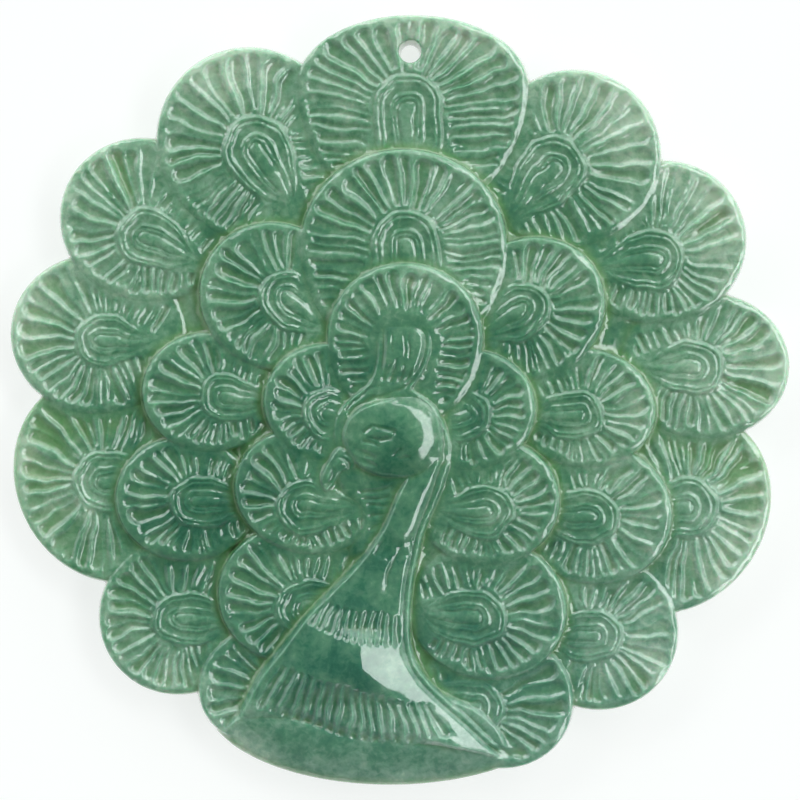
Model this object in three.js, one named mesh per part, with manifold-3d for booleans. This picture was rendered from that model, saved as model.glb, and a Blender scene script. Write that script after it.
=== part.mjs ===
// A carved jade pendant: a peacock with its tail fanned, cut in relief from one flat piece of stone.
// Millimetres. The pendant lies on its flat back: X to the right, Y towards the cord hole, Z out of the face.
import * as THREE from "three";
import { mergeVertices } from "three/addons/utils/BufferGeometryUtils.js";
import Module from "manifold-3d";

// The blank: a low dome, highest in the middle of the fan.
const FAN_RADIUS = 31;
const RIM_HEIGHT = 2.9;
const DOME_RISE = 1.2;
const BACK_ROUND = 0.5;
const GROUND_RADIUS = 24;
const GROUND_DEPTH = 0.4;
const GROUND_RINGS = 5;
const GROUND_SIDES = 40;

// Every feather is a pillow with a bevelled rim, tipped up at its outer end, ringed by flutes round an eye.
const RING_STEP = 0.3;
const TIP_LIFT = 0.45;
const PILLOW = 0.25;
const BEVEL_WIDTH = 0.5;
const BEVEL_DROP = 0.35;
const FLUTE_DEPTH = 0.16;
const FLUTE_END = 0.75;
const FLUTE_END_RISE = 0.15;
const EYE_RISE = 0.2;
const EYE_GROOVE = 0.25;
const EYE_RIDGE = 0.7;
const ROOT_SHARE = 1.15;
const TAIL_SHARE = 2;
const FEATHER_SIDES = [24, 20, 20];

// The cord hole, drilled square through the top feather.
const CORD_HOLE = { x: 0.8, y: 27.5, radius: 0.75, length: 20 };
const CORD_HOLE_SIDES = 24;

// One row for each feather, outer ring first:
// ring, lobe centre x and y, lobe direction, tip reach, half width,
// eye centre x and y, eye direction, eye radius, tail width share, lift over the neighbours.
const FEATHERS = [
  [0, 1.0, 25.0, 90, 5.7, 9.3, 0.6, 23.0, 90, 2.5, 1.2, 0.3],
  [0, -11.9, 20.5, 120, 7.6, 7.5, -11.3, 19.7, 122, 2.5, 0.25, 0.18],
  [0, 13.8, 19.3, 45, 7.0, 7.0, 12.1, 18.3, 48, 2.4, 0.3, 0.18],
  [0, -20.3, 14.3, 160, 6.8, 6.6, -20.1, 12.9, 155, 2.1, 0.25, 0.06],
  [0, 20.7, 12.5, 15, 6.9, 6.6, 20.1, 11.1, 6, 2.2, 0.25, 0.06],
  [0, -24.1, 5.2, 178, 6.9, 6.5, -23.5, 4.7, 178, 1.9, 0.25, -0.06],
  [0, 24.1, 2.7, 0, 6.9, 6.0, 23.3, 2.6, 0, 2.0, 0.25, -0.06],
  [0, -23.1, -6.2, 205, 7.5, 8.6, -23.4, -6.4, 180, 2.2, 0.3, -0.18],
  [0, 21.9, -8.9, -35, 7.2, 8.6, 22.7, -8.5, 0, 2.2, 0.3, -0.18],
  [0, -17.5, -17.1, 200, 6.5, 6.4, -17.3, -17.3, 180, 2.0, 0.3, -0.06],
  [0, 15.6, -18.3, -20, 6.6, 6.4, 15.4, -18.6, 0, 1.9, 0.3, -0.06],
  [0, -10.3, -22.3, 200, 5.9, 4.9, -9.1, -23.4, 200, 1.8, 0.4, 0.06],
  [0, 7.8, -23.6, -20, 6.1, 5.7, 6.1, -24.3, -10, 2.0, 0.4, 0.06],
  [1, -16.9, -7.8, 175, 5.7, 5.1, -16.0, -8.0, 178, 1.9, 0.4, -0.06],
  [1, 15.5, -9.0, -5, 6.1, 5.7, 15.0, -9.2, -2, 2.0, 0.4, -0.06],
  [1, -8.4, -15.3, 178, 6.1, 5.7, -7.6, -16.3, 190, 1.9, 0.4, 0.06],
  [1, 7.0, -16.5, -5, 6.3, 5.7, 6.0, -17.1, -2, 2.1, 0.3, 0.06],
  [1, -15.1, 0.6, 178, 5.4, 4.9, -13.8, 0.2, 172, 1.7, 0.4, 0.06],
  [1, 14.3, -0.6, -8, 6.0, 4.9, 14.0, -1.2, 2, 1.8, 0.3, 0.06],
  [1, -9.9, 8.2, 150, 6.1, 5.9, -8.9, 8.0, 143, 2.0, 0.35, 0.18],
  [1, 10.3, 7.2, 30, 6.1, 5.7, 9.6, 7.1, 30, 2.0, 0.3, 0.18],
  [1, 0.3, 12.2, 90, 7.7, 8.3, 0.5, 12.2, 90, 2.5, 1.2, 0.3],
  [2, -7.0, -7.1, 172, 6.2, 5.2, -7.6, -8.4, 180, 2.0, 0.3, 0.06],
  [2, 7.0, -8.0, 8, 5.7, 5.2, 6.8, -8.8, 0, 1.9, 0.3, 0.06],
  [2, -5.6, -0.2, 175, 5.3, 4.8, -5.6, -1.1, 168, 1.9, 0.4, 0.18],
  [2, 5.4, -0.8, 8, 5.4, 4.9, 5.2, -1.2, 10, 1.8, 0.3, 0.18],
  [2, 0.4, 4.9, 90, 6.0, 6.3, 0.2, 4.2, 90, 2.2, 0.9, 0.3],
];

// The plain foot under the bird, one smooth lobe that points down.
const FOOT = { x: -0.8, y: -23.7, direction: -90, tip: 7.0, half: 14.9, flat: 0.6, lift: -0.45 };
const FOOT_SIDES = 48;

// The body, from the nape down to the foot: centre x, y, half width, crown height over the dome.
const BODY = [
  [1.8, -5.2, 1.3, 1.6],
  [0.9, -8.9, 1.4, 1.8],
  [0.2, -10.5, 1.7, 2.0],
  [-1.3, -12.7, 2.3, 2.2],
  [-2.9, -15.9, 3.5, 2.4],
  [-4.0, -19.3, 5.0, 2.6],
  [-4.1, -22.3, 7.1, 2.6],
  [-3.4, -24.8, 9.0, 2.4],
  [-2.6, -27.0, 10.0, 1.5],
];
const BODY_STEPS = 16;
const BODY_SIDES = 20;
const COLLARS = [0.28, 0.58, 0.88];
const COLLAR_DEPTH = 0.22;
const COLLAR_LENGTH = 0.15;

// Head and beak lie on the inner feathers, facing left and looking down.
const HEAD = { x: -0.6, y: -2.9, halfLength: 4.4, halfWidth: 3.2, turn: 8, crown: 2.1 };
const BEAK = { x: -4.6, y: -4.5, tipX: -5.7, tipY: -7.1, radius: 1.15, crown: 1.7 };
const HEAD_SIDES = 24;

// The crest is the eye of the last feather, cut higher than the others.
const CREST_ROW = FEATHERS.length - 1;
const CREST_RISE = 0.5;

// How far the parts reach into each other, and the step that vertices are rounded to.
const SINK = 1;
const GRAIN = 0.005;
const SWAP_PASSES = 3;

function radians(degrees) {
  return (degrees * Math.PI) / 180;
}

// Height of the blank's dome at a point.
function dome(x, y) {
  const share = Math.min(1, Math.hypot(x, y) / FAN_RADIUS);
  return RIM_HEIGHT + DOME_RISE * (1 - share * share);
}

// Point of a lobe's outline: an ellipse with its own reach at the tip and at the root.
function lobePoint(lobe, turn) {
  const along = Math.cos(turn) * (Math.cos(turn) > 0 ? lobe.tip : lobe.root);
  const across = Math.sin(turn) * lobe.half;
  const a = radians(lobe.direction);
  return new THREE.Vector2(
    lobe.x + along * Math.cos(a) - across * Math.sin(a),
    lobe.y + along * Math.sin(a) + across * Math.cos(a),
  );
}

// Reach of an eye's teardrop from the centre of its round end, at an angle off its direction.
function eyeReach(eye, angle) {
  const off = Math.abs(Math.atan2(Math.sin(angle), Math.cos(angle)));
  const length = eye.radius * TAIL_SHARE;
  const tail = eye.radius * eye.tailShare;
  const shoulder = Math.PI / 2 + Math.asin((eye.radius - tail) / length);
  if (off <= shoulder) return eye.radius;
  const flank = Math.sqrt(length ** 2 - (eye.radius - tail) ** 2);
  const corner = shoulder + Math.atan(flank / eye.radius);
  if (off <= corner) return eye.radius / Math.cos(off - shoulder);
  const miss = length * Math.sin(off);
  return -length * Math.cos(off) + Math.sqrt(tail * tail - miss * miss);
}

// A closed body of rings round an axis: at(ring, side) gives each point, and the end rings are single points.
function ringed(rings, sides, at) {
  const profile = Array.from({ length: rings }, (_, ring) => new THREE.Vector2(1, ring));
  const geometry = new THREE.LatheGeometry(profile, sides);
  const position = geometry.attributes.position;
  for (let side = 0; side <= sides; side++) {
    for (let ring = 0; ring < rings; ring++) {
      const p = at(ring, side % sides);
      position.setXYZ(side * rings + ring, p.x, p.y, p.z);
    }
  }
  return geometry;
}

const wasm = await Module();
wasm.setup();

// A closed geometry as a solid, turned right side out.
function solid(geometry) {
  geometry.deleteAttribute("normal");
  geometry.deleteAttribute("uv");
  const merged = mergeVertices(geometry, 1e-4);
  const faces = [];
  for (let i = 0; i < merged.index.count; i += 3) {
    const [a, b, c] = [0, 1, 2].map((k) => merged.index.getX(i + k));
    if (a !== b && b !== c && c !== a) faces.push(a, b, c);
  }
  const make = (triangles) =>
    new wasm.Manifold(
      new wasm.Mesh({
        numProp: 3,
        vertProperties: new Float32Array(merged.attributes.position.array),
        triVerts: new Uint32Array(triangles),
      }),
    );
  const made = make(faces);
  return made.volume() < 0 ? make(faces.reverse()) : made;
}

// One feather: rounded wall, bevelled rim, fluted vane and the ringed eye.
function feather(row, number) {
  const [ring, x, y, direction, tip, half, eyeX, eyeY, eyeTurn, radius, tailShare, lift] = row;
  const lobe = { x, y, direction, tip, half, root: half * ROOT_SHARE };
  const eye = { radius, tailShare };
  const centre = new THREE.Vector2(eyeX, eyeY);
  const towards = new THREE.Vector2(Math.cos(radians(direction)), Math.sin(radians(direction)));
  const rise = number === CREST_ROW ? CREST_RISE : EYE_RISE;
  const top = (p) => {
    const along = (p.x - x) * towards.x + (p.y - y) * towards.y;
    return dome(p.x, p.y) + RING_STEP * ring + lift + (TIP_LIFT * along) / tip;
  };
  const at = (level, side) => {
    const edge = lobePoint(lobe, (2 * Math.PI * side) / FEATHER_SIDES[ring]);
    const spoke = edge.clone().sub(centre);
    const reach = spoke.length();
    const inner = eyeReach(eye, spoke.angle() - radians(eyeTurn));
    const flute = side % 2 ? -FLUTE_DEPTH : 0;
    const levels = [
      [0, -SINK],
      [reach - BACK_ROUND - SINK, -SINK],
      [reach, BACK_ROUND],
      [reach, -BEVEL_DROP],
      [reach - BEVEL_WIDTH, 0],
      [inner + FLUTE_END * (reach - inner), flute + FLUTE_END_RISE],
      [inner, flute / 2 + PILLOW - EYE_GROOVE],
      [EYE_RIDGE * inner, PILLOW + rise],
      [0, PILLOW + rise - EYE_GROOVE],
    ];
    const [distance, height] = levels[level];
    const p = centre.clone().addScaledVector(spoke, distance / reach);
    return new THREE.Vector3(p.x, p.y, level < 3 ? height : top(p) + height);
  };
  return solid(ringed(9, FEATHER_SIDES[ring], at));
}

// The smooth foot: the same wall and bevel with a plain convex top.
function foot() {
  const lobe = { ...FOOT, root: FOOT.half * ROOT_SHARE };
  const centre = new THREE.Vector2(FOOT.x, FOOT.y);
  const at = (level, side) => {
    const edge = lobePoint(lobe, (2 * Math.PI * side) / FOOT_SIDES);
    const spoke = edge.clone().sub(centre);
    const reach = spoke.length();
    const levels = [
      [0, -SINK],
      [reach - BACK_ROUND - SINK, -SINK],
      [reach, BACK_ROUND],
      [reach, FOOT.lift - BEVEL_DROP],
      [reach - BEVEL_WIDTH, FOOT.lift],
      [FOOT.flat * reach, FOOT.lift + TIP_LIFT],
      [0, FOOT.lift + TIP_LIFT],
    ];
    const [distance, height] = levels[level];
    const p = centre.clone().addScaledVector(spoke, distance / reach);
    return new THREE.Vector3(p.x, p.y, level < 3 ? height : dome(p.x, p.y) + height);
  };
  return solid(ringed(7, FOOT_SIDES, at));
}

// The ground between the feather roots: the blank's dome, cut down a little.
function ground() {
  const profile = [new THREE.Vector2(0, -SINK), new THREE.Vector2(GROUND_RADIUS, -SINK)];
  for (let ring = GROUND_RINGS; ring >= 0; ring--) {
    const radius = (GROUND_RADIUS * ring) / GROUND_RINGS;
    profile.push(new THREE.Vector2(radius, dome(radius, 0) - GROUND_DEPTH));
  }
  return solid(new THREE.LatheGeometry(profile, GROUND_SIDES).rotateX(Math.PI / 2));
}

// The body: a half-round cone along a curve, stepped at each collar of neck feathers.
function body() {
  const spine = new THREE.CatmullRomCurve3(BODY.map(([x, y]) => new THREE.Vector3(x, y, 0)));
  const sections = BODY.map(([, , half, crown]) => new THREE.Vector3(half, crown, 0));
  const sizes = new THREE.CatmullRomCurve3(sections);
  const at = (ring, side) => {
    const share = Math.min(1, Math.max(0, (ring - 1) / BODY_STEPS));
    const closed = ring === 0 || ring === BODY_STEPS + 2;
    const p = spine.getPoint(share);
    const size = sizes.getPoint(share);
    const past = COLLARS.find((collar) => share <= collar) ?? 1;
    const step = COLLAR_DEPTH * Math.max(0, 1 - (past - share) / COLLAR_LENGTH);
    const turn = (2 * Math.PI * side) / BODY_SIDES;
    const half = closed ? 0 : size.x * Math.cos(turn);
    const rise = closed ? 0 : Math.sin(turn) * (Math.sin(turn) > 0 ? size.y + step : SINK);
    return new THREE.Vector3(p.x + half, p.y, dome(p.x, p.y) + rise);
  };
  return solid(ringed(BODY_STEPS + 3, BODY_SIDES, at));
}

// An egg on the dome: the head.
function head() {
  const geometry = new THREE.SphereGeometry(1, HEAD_SIDES, HEAD_SIDES / 2);
  geometry.scale(HEAD.halfLength, HEAD.halfWidth, HEAD.crown);
  geometry.rotateZ(radians(HEAD.turn));
  geometry.translate(HEAD.x, HEAD.y, dome(HEAD.x, HEAD.y));
  return solid(geometry);
}

// The beak: a short cone from the face to its tip, flattened on the feathers.
function beak() {
  const run = new THREE.Vector2(BEAK.tipX - BEAK.x, BEAK.tipY - BEAK.y);
  const geometry = new THREE.ConeGeometry(BEAK.radius, 2 * run.length(), HEAD_SIDES / 2);
  geometry.rotateZ(run.angle() - Math.PI / 2);
  geometry.scale(1, 1, BEAK.crown / BEAK.radius);
  geometry.translate(BEAK.x, BEAK.y, dome(BEAK.x, BEAK.y) + BEAK.crown / 2);
  return solid(geometry);
}

function cordHole() {
  const { radius, length } = CORD_HOLE;
  const geometry = new THREE.CylinderGeometry(radius, radius, length, CORD_HOLE_SIDES);
  geometry.rotateX(Math.PI / 2);
  geometry.translate(CORD_HOLE.x, CORD_HOLE.y, 0);
  return solid(geometry);
}

// Swaps the long edge of every facet thinner than the grain, so that no facet is left without height.
function swapThinEdges(geometry) {
  const index = geometry.index.array;
  const corner = (i) => new THREE.Vector3().fromBufferAttribute(geometry.attributes.position, index[i]);
  const owner = new Map();
  const key = (a, b) => a * geometry.attributes.position.count + b;
  for (let i = 0; i < index.length; i++) {
    const next = i % 3 === 2 ? i - 2 : i + 1;
    owner.set(key(index[i], index[next]), i);
  }
  const done = new Set();
  for (let face = 0; face < index.length; face += 3) {
    const points = [corner(face), corner(face + 1), corner(face + 2)];
    const edges = points.map((p, k) => p.distanceTo(points[(k + 1) % 3]));
    const long = edges.indexOf(Math.max(...edges));
    const height = (2 * new THREE.Triangle(...points).getArea()) / edges[long];
    const [a, b, c] = [0, 1, 2].map((k) => index[face + ((long + k) % 3)]);
    const twin = owner.get(key(b, a));
    const other = twin - (twin % 3);
    if (height > GRAIN || done.has(face) || done.has(other)) continue;
    const d = index[other + ((twin + 2) % 3)];
    if (owner.has(key(c, d)) || owner.has(key(d, c))) continue;
    index.set([c, a, d], face);
    index.set([d, b, c], other);
    done.add(face).add(other);
  }
}

// Everything below the flat back.
function belowBack() {
  const geometry = new THREE.BoxGeometry(4 * FAN_RADIUS, 4 * FAN_RADIUS, 4 * SINK);
  geometry.translate(0, 0, -2 * SINK);
  return solid(geometry);
}

function pendant() {
  let stone = ground().add(foot());
  FEATHERS.forEach((row, number) => {
    stone = stone.add(feather(row, number));
  });
  stone = stone.add(body()).add(head()).add(beak());
  stone = stone.subtract(cordHole()).subtract(belowBack());
  const { vertProperties, triVerts } = stone.getMesh();
  const rounded = vertProperties.map((v) => Math.round(v / GRAIN) * GRAIN);
  let geometry = new THREE.BufferGeometry();
  geometry.setAttribute("position", new THREE.BufferAttribute(rounded, 3));
  geometry.setIndex(new THREE.BufferAttribute(triVerts, 1));
  geometry = mergeVertices(geometry, GRAIN / 2);
  for (let pass = 0; pass < SWAP_PASSES; pass++) swapThinEdges(geometry);
  geometry.computeVertexNormals();
  return geometry;
}

const jade = new THREE.MeshStandardMaterial({ color: 0x4f8367, roughness: 0.18, metalness: 0 });
const mesh = new THREE.Mesh(pendant(), jade);
mesh.name = "peacock_pendant";

const group = new THREE.Group();
group.add(mesh);

export default group;
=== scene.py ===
"""A carved jade peacock pendant, lying on a pale floor under soft studio light and seen from above."""
import math

import bmesh
import bpy
import numpy as np
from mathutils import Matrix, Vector


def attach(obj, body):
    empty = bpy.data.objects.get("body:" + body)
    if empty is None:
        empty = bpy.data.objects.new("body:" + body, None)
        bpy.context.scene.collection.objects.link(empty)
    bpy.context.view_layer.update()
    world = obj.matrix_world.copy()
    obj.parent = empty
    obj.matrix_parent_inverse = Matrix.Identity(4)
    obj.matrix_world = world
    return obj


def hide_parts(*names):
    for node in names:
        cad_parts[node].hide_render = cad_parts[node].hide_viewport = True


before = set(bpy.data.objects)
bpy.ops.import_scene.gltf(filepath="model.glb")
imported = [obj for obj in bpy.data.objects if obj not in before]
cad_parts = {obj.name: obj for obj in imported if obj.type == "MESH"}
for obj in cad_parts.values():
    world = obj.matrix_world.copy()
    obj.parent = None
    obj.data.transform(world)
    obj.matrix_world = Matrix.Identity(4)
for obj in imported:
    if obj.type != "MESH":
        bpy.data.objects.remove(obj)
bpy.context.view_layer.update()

# All carving sizes are millimetres in the pendant's own frame:
# X right, Y towards the cord hole, Z out of the face.
MM = 0.001
# Small enough to keep a division safe, and larger than any distance on the pendant.
TINY = 1e-6
FAR = 99.0

# The blank: a low dome, highest in the middle of the fan.
FAN_RADIUS = 31.0
RIM_HEIGHT = 2.9
DOME_RISE = 1.2
GROUND_RADIUS = 27.0
# The ground between the feather roots over the dome, by distance from the middle.
GROUND_LEVELS = ((9.0, 0.35), (13.0, 0.2), (17.0, -0.2), (22.0, -0.4))

# Feather pillows: ring steps, the lift of each tip and how far back towards the root it goes on sinking.
RING_STEP = 0.3
TIP_LIFT = 0.45
TIP_LIFT_FROM = -1.2
# How far a pillow swells and over what run, its bevelled rim band and its rounded edge, which falls steeply.
PILLOW = 0.2
PILLOW_RUN = 2.2
BAND_WIDTH = 0.6
BAND_DROP = 0.12
BAND_CURVE = 1.2
EDGE_WIDTH = 0.1
EDGE_FALL = 0.35
OUTLINE_INSET = 0.21
EDGE_STEEP = 5.0
# A lobe's reach to its root by its half width, and an eye's tail by its radius.
ROOT_SHARE = 1.15
TAIL_SHARE = 2.15
TAIL_END = 0.99
# How far round a feather, and round the outline of a piece of the bird, the field is worked.
FEATHER_MARGIN = 4.0
RING_MARGIN = 3.0

# How far a layer is cut down beside the one above it, how fast and along what curve it comes up again,
# and how far its carving stays away.
OVERLAP_STEP = 0.16
OVERLAP_RUN = 1.2
OVERLAP_CURVE = 1.3
VALLEY_WIDTH = 0.6

# Gouged barbs: the turn from one to the next round an eye, their pitch along its flanks,
# and their depth by half width.
BARB_TURN = 12.5
BARB_PITCH = 0.68
BARB_STEEP = 0.32
BARB_LEAST = 0.09
# Where they start by the eye's radius, how far from the rim they end, the shortest and the widest,
# and how they crowd at the tip.
BARB_GAP = 1.18
BARB_RIM = 0.4
BARB_SHORTEST = 0.6
BARB_WIDEST = 0.95
BARB_CROWD = 1.22
BARB_FLANK_START = 0.8
# How far out a barb's end is looked for, and in what steps.
BARB_REACH = 16.0
BARB_REACH_STEP = 0.05
# How uneven the barbs are, in spacing, heading, start, end, depth and bend, and how far chance may go.
BARB_SPACING_VARIES = 0.16
BARB_HEADING_VARIES = 0.015
BARB_START_VARIES = 0.05
BARB_END_VARIES = 0.22
BARB_DEPTH_VARIES = 0.22
BARB_BEND_VARIES = 0.03
CHANCE_LIMIT = 2
# The wheel: how flat a stroke's floor is, how shallow it starts, how fast it deepens, its end by half width,
# and the margin that is worked round it.
WHEEL_FLAT = 3.0
WHEEL_START = 0.5
WHEEL_DEEPENS = 1.6
WHEEL_ROUND = 1.1
WHEEL_END = 1.3
WHEEL_MARGIN = 0.3
# The hand: its wander over the face, the faint ripple it leaves in a stroke, and the seed of its chances.
HAND_WANDER = (0.075, 1.5, 5.0)
HAND_RIPPLE = 0.1
HAND_RUBBING = (0.008, 1.2, 3.0)
CARVER_SEED = 7
WANDER_WAVES = 9

# The cord hole: x, y, radius, and the slope of its wall.
CORD_HOLE = (0.8, 27.5, 0.75)
CORD_HOLE_STEEP = 10.0

# The carved field: a square of samples that covers the outline, cut off level at the edge's widest line.
FIELD_HALF = 31.9
FIELD_STEP = 0.075
CUT_LEVEL = 2.1
CUT_SNAP = 1e-5
OUTSIDE = -3.0
TOP_TRIANGLES = 183000
# Hollows are measured against the mean of so many samples each way, outside the rim taken at this height.
HOLLOW_REACH = 10
HOLLOW_RIM = 3.2

# Each feather: ring, lobe centre x, y, lobe direction, tip reach, half width, eye centre x, y,
# eye direction, eye radius, tail width share, lift over the neighbours. Lower ones come first.
FEATHERS = {
    "left_low_wide": (0, -23.1, -6.2, 205, 7.5, 8.6, -23.4, -6.4, 180, 2.2, 0.3, -0.18),
    "right_low_wide": (0, 21.9, -8.9, -35, 7.2, 8.6, 22.7, -8.5, 0, 2.2, 0.3, -0.18),
    "left_middle": (0, -24.1, 5.2, 178, 6.9, 6.5, -23.5, 4.7, 178, 1.9, 0.15, -0.06),
    "right_middle": (0, 24.1, 2.7, 0, 6.9, 6.0, 23.3, 2.6, 0, 2.0, 0.25, -0.06),
    "left_lower": (0, -17.5, -17.1, 200, 6.5, 6.4, -17.3, -17.3, 180, 2.0, 0.3, -0.06),
    "right_lower": (0, 15.6, -18.3, -20, 6.6, 6.4, 15.4, -18.6, 0, 1.9, 0.3, -0.06),
    "left_lowest": (0, -10.3, -22.3, 200, 5.9, 4.9, -9.1, -23.4, 200, 1.9, 0.4, 0.06),
    "right_lowest": (0, 7.8, -23.6, -20, 6.1, 5.7, 6.1, -24.3, -10, 2.0, 0.4, 0.06),
    "left_upper": (0, -20.3, 14.3, 160, 6.8, 6.6, -20.1, 12.9, 155, 2.1, 0.25, 0.06),
    "right_upper": (0, 20.7, 12.5, 15, 6.9, 6.6, 20.1, 11.1, 6, 2.2, 0.25, 0.06),
    "left_top": (0, -11.9, 20.5, 120, 7.6, 7.5, -11.3, 19.7, 122, 2.5, 0.25, 0.18),
    "right_top": (0, 13.8, 19.3, 45, 7.0, 7.0, 12.1, 18.3, 48, 2.4, 0.3, 0.18),
    "top": (0, 1.0, 24.95, 90, 5.65, 9.3, 0.6, 23.0, 90, 2.5, 1.2, 0.3),
    "second_left_low": (1, -16.9, -7.8, 175, 5.7, 5.1, -16.0, -8.0, 178, 1.9, 0.4, -0.06),
    "second_right_low": (1, 15.5, -9.0, -5, 6.1, 5.7, 15.0, -9.2, -2, 2.0, 0.4, -0.06),
    "second_left_lowest": (1, -8.4, -15.3, 178, 6.1, 5.7, -7.6, -16.3, 190, 1.9, 0.4, 0.06),
    "second_right_lowest": (1, 7.0, -16.5, -5, 6.3, 5.7, 6.0, -17.1, -2, 2.1, 0.3, 0.06),
    "second_left_middle": (1, -15.1, 0.6, 178, 5.4, 4.9, -13.8, 0.2, 172, 1.7, 0.4, 0.06),
    "second_right_middle": (1, 14.3, -0.6, -8, 6.0, 4.9, 14.0, -1.2, 2, 1.8, 0.3, 0.06),
    "second_left_upper": (1, -9.9, 8.2, 150, 6.1, 5.9, -8.9, 8.0, 143, 2.0, 0.35, 0.18),
    "second_right_upper": (1, 10.3, 7.2, 30, 6.1, 5.7, 9.6, 7.1, 30, 2.0, 0.3, 0.18),
    "second_top": (1, 0.3, 12.2, 90, 7.7, 8.3, 0.5, 12.2, 90, 2.5, 1.2, 0.3),
    "inner_left_low": (2, -7.0, -7.1, 172, 6.2, 5.2, -7.6, -8.4, 180, 2.0, 0.2, 0.06),
    "inner_right_low": (2, 7.0, -8.0, 8, 5.7, 5.2, 6.8, -8.8, 0, 1.9, 0.3, 0.06),
    "inner_left": (2, -5.6, -0.2, 175, 5.3, 4.8, -5.6, -1.1, 168, 1.9, 0.4, 0.18),
    "inner_right": (2, 5.4, -0.8, 8, 5.4, 4.9, 5.2, -1.2, 10, 1.8, 0.3, 0.18),
    "inner_top": (2, 0.4, 4.9, 90, 6.0, 6.3, 0.2, 4.2, 90, 2.4, 0.9, 0.3),
}
# The crest covers this feather's eye.
CRESTED_FEATHER = "inner_top"

# Ridges and grooves of an eye, from its middle out to the ends of the barbs: share of the teardrop, height.
EYE_PROFILE = (
    (0.0, 0.1), (0.16, 0.07), (0.25, -0.06), (0.33, 0.06), (0.39, -0.04), (0.46, 0.08), (0.56, -0.06),
    (0.74, -0.03), (0.83, 0.1), (0.9, -0.03), (0.99, 0.1), (1.1, -0.08), (1.28, 0.0),
)
# How the teardrop's tail tapers, how far the barbs stay clear of it, and how its ridges fade in the tail.
EYE_TAPER = (1.3, 3.0)
EYE_CLEAR = 0.12
EYE_FADE = 0.45

# The plain foot: centre x, y, half width, reach down, height at its rim, rise to its top and the run
# of that rise. The field is worked a little beyond it, and further above it.
FOOT = (-0.8, -23.7, 14.9, 7.0, 2.9, 1.5, 4.5)
FOOT_MARGIN = 1.0
FOOT_ABOVE = 4.0
# Where the foot gives way to the feathers above it: its top left of the body and below it, how fast it falls
# away there, and how far right along the diagonal it runs.
FOOT_TOP = ((-14.0, -26.2), (-12.0, -24.4))
FOOT_FALL = 0.8
FOOT_SIDE = -13.9
LAST_UNDER_FOOT = "right_lowest"

# The body from the nape down: y, left edge, right edge, heights of the left edge, the right edge and the top.
BODY = (
    (-4.6, 1.2, 3.2, 4.7, 5.1, 5.3), (-7.6, -0.2, 2.3, 5.05, 4.95, 5.4),
    (-10.3, -1.4, 1.25, 5.05, 4.95, 5.35), (-11.8, -2.4, 0.9, 5.0, 4.9, 5.45),
    (-14.1, -4.4, 0.4, 5.0, 4.8, 5.75), (-15.9, -6.2, 0.2, 5.1, 4.75, 6.1),
    (-17.3, -7.5, 0.15, 5.15, 4.7, 6.4), (-19.4, -9.1, 0.25, 5.1, 4.6, 6.45),
    (-21.6, -10.8, 1.1, 4.85, 4.4, 5.8), (-23.9, -12.1, 3.2, 4.6, 4.2, 4.95),
    (-25.1, -12.6, 4.6, 4.5, 4.1, 4.9), (-28.6, -13.6, 8.2, 4.3, 3.8, 4.7),
)
# The part of the field that the body takes: lowest and highest x, lowest and highest y.
BODY_WINDOW = (-16.0, 12.0, -30.0, -3.6)
EDGE_SAMPLES = 50
BODY_LEFT_SLOPE = 0.22
# Slope of the body's right facet by y: it turns to the light at the neck and below the second collar.
BODY_RIGHT_SLOPE = (
    (-28.6, 0.42), (-18.7, 0.42), (-17.9, 0.2), (-11.6, 0.2), (-10.2, 0.42), (-4.6, 0.42),
)
# How round the crease between two facets is, the fall of the wall, its rounded edge, and the raised lip
# along the left edge: how far in, how wide, how high.
BODY_BLEND = 0.07
BODY_WALL = 2.5
BODY_EDGE_ROUND = 0.1
BODY_LIP = (0.15, 0.15, 0.12)
# The low border along the body's right edge: y and width, how round it is, y and how far it goes down
# at the nape, and the drop from that edge. On the left the drop is deeper.
BODY_BORDER = ((-10.0, 0.62), (-5.0, 0.85))
BORDER_BEAD = 0.12
BORDER_GOES_DOWN = ((-6.2, 0.0), (-4.6, 0.34))
BODY_RIGHT_DROP = 0.25
BODY_LEFT_DROP = 0.32
# The run over which the feathers beside the body are cut down, and the y where that starts.
BODY_SINKS = 0.8
BODY_SINKS_FROM = -6.4
# Where the body ends above the foot: x, y.
BODY_HEM = ((-13.5, -25.1), (-8.0, -25.2), (-4.0, -26.6), (0.0, -27.1), (3.2, -27.2), (8.2, -28.3))
# How far above its end the body sinks into the foot: x, run.
HEM_RUNS = ((1.5, 1.1), (3.8, 0.2))
# The short bright facet between the first two collars: start, end, half width, depth.
BODY_FACET = ((-1.25, -15.4), (-0.1, -11.1), 0.34, 0.13)

# Gouged collars on the body: the first stroke's start and end, the last stroke's start and end,
# how far the middle ones hang at the start and at the end, how many there are, half width, depth.
COLLARS = (
    ((-0.9, -10.6), (-1.9, -12.2), (0.9, -10.6), (0.7, -12.2), 0.2, 0.5, 7, 0.26, 0.1),
    ((-6.0, -15.8), (-7.0, -17.6), (-0.2, -16.7), (-0.3, -19.3), 0.2, 0.6, 11, 0.36, 0.18),
    ((-9.0, -20.8), (-11.1, -24.2), (2.1, -24.0), (3.7, -26.5), 0.3, 1.3, 17, 0.43, 0.25),
)
COLLAR_START = 0.7

# Outlines of the hood with the crest, of the head and of the beak, each a ring of points.
HOOD = (
    (-5.1, -3.6), (-5.2, -2.5), (-5.0, -1.4), (-4.5, -0.5), (-3.6, 0.35), (-2.6, 1.15), (-2.05, 2.0),
    (-1.75, 3.6), (-1.7, 5.6), (-1.2, 6.4), (0.0, 6.65), (1.2, 6.4), (2.25, 5.5), (2.45, 4.2), (2.0, 2.5),
    (1.35, 1.5), (1.0, 0.85), (1.9, 0.25), (2.9, -0.7), (3.7, -2.4), (4.0, -3.9), (3.8, -5.0), (2.8, -5.7),
    (1.2, -6.1), (-0.2, -6.1), (-1.6, -5.9), (-3.2, -5.4), (-4.4, -4.7),
)
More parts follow.
